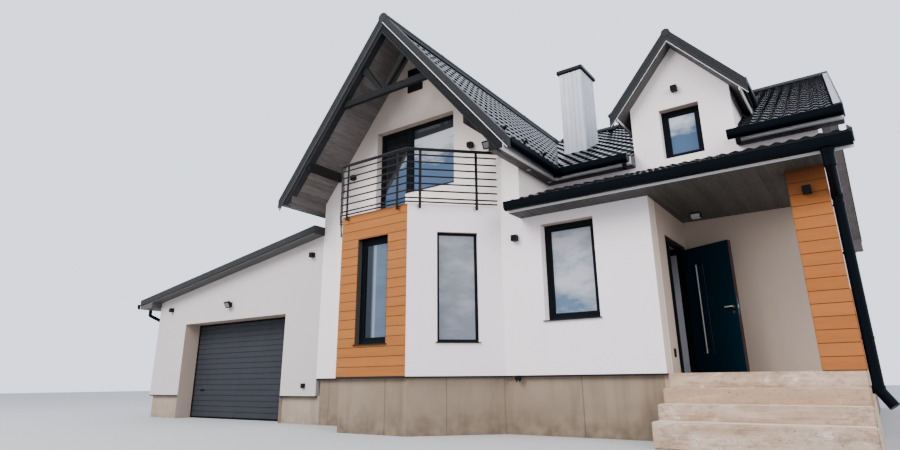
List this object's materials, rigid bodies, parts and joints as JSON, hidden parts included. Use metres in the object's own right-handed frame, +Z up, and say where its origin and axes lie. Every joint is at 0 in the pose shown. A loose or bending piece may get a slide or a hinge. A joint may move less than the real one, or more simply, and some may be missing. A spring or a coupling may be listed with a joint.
{
  "type": "detached house",
  "caption": "Detached house with a gabled wing over a half-octagon bay with a balcony, a dormer, a porch with steps and a garage under a shed roof.",
  "frame": {"origin": "under the middle of the whole house, at the level of its base", "axes": "+X to the right along the front, +Y from the front into the house, +Z up"},
  "size_m": [16.189, 13.715, 7.8539],
  "materials": {
    "plinth_plaster": "matt",
    "concrete": "matt",
    "travertine": "satin",
    "white_render": "matt",
    "timber_boards": "satin",
    "porch_render": "matt",
    "soffit_boards": "satin",
    "metal_tiles": "gloss",
    "pale_soffit": "satin",
    "flashing": "satin",
    "dark_timber": "satin",
    "white_trim": "satin",
    "gutter_metal": "satin",
    "chimney_panels": "satin",
    "dark_trim": "satin",
    "railing_metal": "satin",
    "frame_grey": "satin",
    "glass": "gloss",
    "garage_door_grey": "matt",
    "door_navy": "satin",
    "stainless": "brushed",
    "lamp_black": "matt"
  },
  "bodies": {
    "house": {"plinth": "plinth_plaster", "garage_plinth": "plinth_plaster", "ground_floors": "concrete", "upper_floor": "concrete", "porch_steps": "travertine", "bay_walls": "white_render", "timber_cladding": "timber_boards", "balcony_deck": "white_render", "front_wall": "white_render", "room_wall": "white_render", "left_wall": "white_render", "right_wall": "white_render", "rear_wall": "white_render", "upper_wall": "white_render", "porch_wall_near": "porch_render", "porch_wall_head": "porch_render", "porch_back_wall": "porch_render", "pier": "white_render", "garage_walls": "white_render", "wing_roof_deck": "soffit_boards", "wing_tiles": "metal_tiles", "long_roof_deck": "soffit_boards", "long_tiles": "metal_tiles", "lean_roof_deck": "soffit_boards", "lean_tiles": "metal_tiles", "dormer_roof_deck": "soffit_boards", "dormer_tiles": "metal_tiles", "garage_roof_deck": "pale_soffit", "garage_tiles": "metal_tiles", "roof_flashings": "flashing", "gable_truss": "dark_timber", "soffit_boards": "soffit_boards", "fascias": "white_trim", "gutters": "gutter_metal", "downpipes": "gutter_metal", "chimney": "chimney_panels", "roof_vents": "dark_trim", "balcony_railing": "railing_metal", "window_frames": "frame_grey", "lower_glass": "glass", "upper_glass": "glass", "window_sills": "dark_trim", "garage_door": "garage_door_grey", "door_frame": "frame_grey", "wall_fittings": "lamp_black", "gable_vent": "lamp_black"},
    "entrance_leaf": {"door_leaf": "door_navy", "door_handles": "stainless"}
  },
  "joints": [
    {"name": "entrance_hinge", "type": "hinge", "parent": "house", "child": "entrance_leaf", "pos_m": [5.5295, -3.79054, 1.86], "axis": [0, 0, 1], "range_deg": [-62, 26]}
  ]
}
